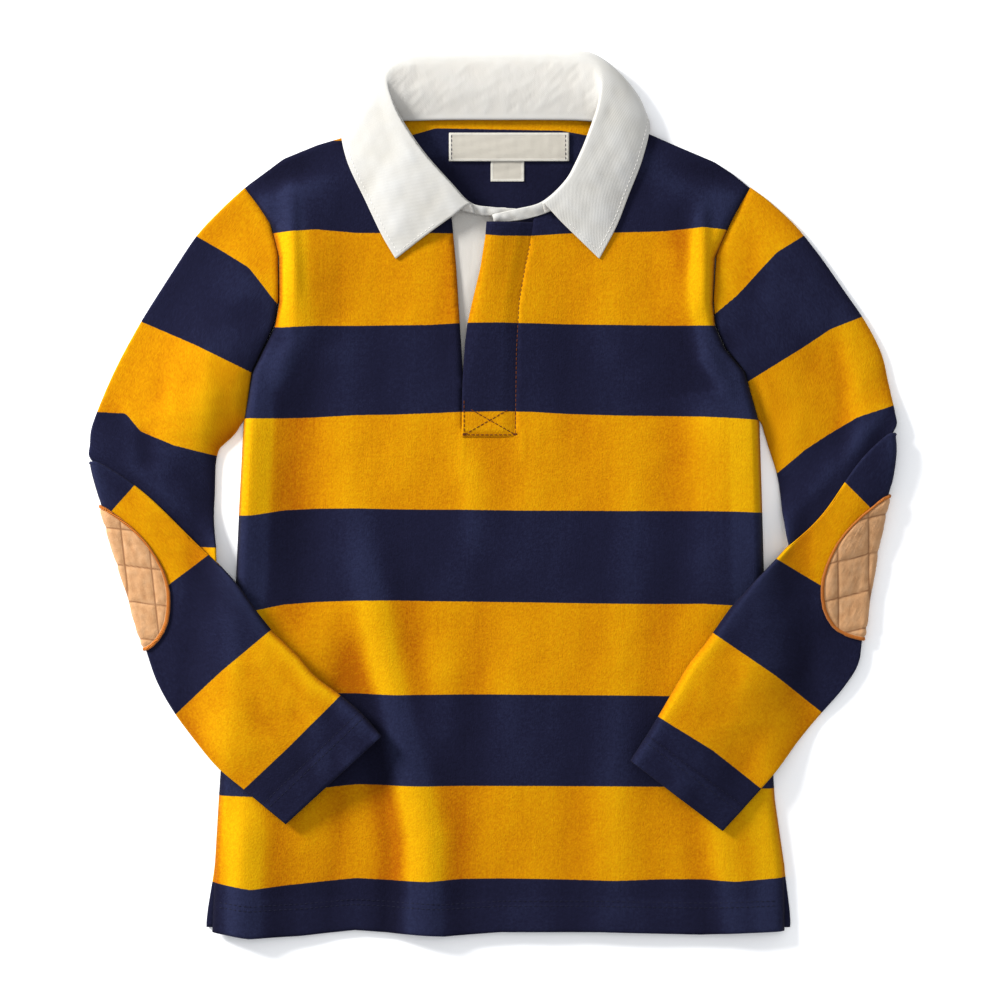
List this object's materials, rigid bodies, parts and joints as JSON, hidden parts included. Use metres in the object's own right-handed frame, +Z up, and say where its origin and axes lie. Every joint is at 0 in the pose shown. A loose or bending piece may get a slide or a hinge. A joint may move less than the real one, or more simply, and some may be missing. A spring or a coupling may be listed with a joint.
{
  "type": "child's rugby shirt laid flat",
  "caption": "Long-sleeved striped pullover shirt with a twill collar, fly placket and elbow patches, laid flat with its sleeves folded over the front.",
  "frame": {"origin": "middle of the bounding box on the table that the shirt lies on", "axes": "+X to the viewer's right, +Y from the hem to the collar, +Z up off the table through the front"},
  "size_m": [0.5018, 0.5495, 0.0171],
  "materials": {
    "striped_jersey": "brushed cotton jersey in broad gold and navy stripes",
    "white_twill": "creased white cotton twill",
    "tan_patch": "quilted tan cotton with a corded edge",
    "cream_label": "woven cream label, blank"
  },
  "bodies": {
    "root": {"back_panel": "striped_jersey", "front_panel": "striped_jersey", "sleeve_left": "striped_jersey", "sleeve_right": "striped_jersey", "elbow_patch_left": "tan_patch", "elbow_patch_right": "tan_patch", "collar_band": "white_twill", "collar_leaf": "white_twill", "placket_upper_lap": "striped_jersey", "placket_under_lap": "white_twill", "neck_label": "cream_label", "size_tab": "cream_label"}
  },
  "joints": []
}
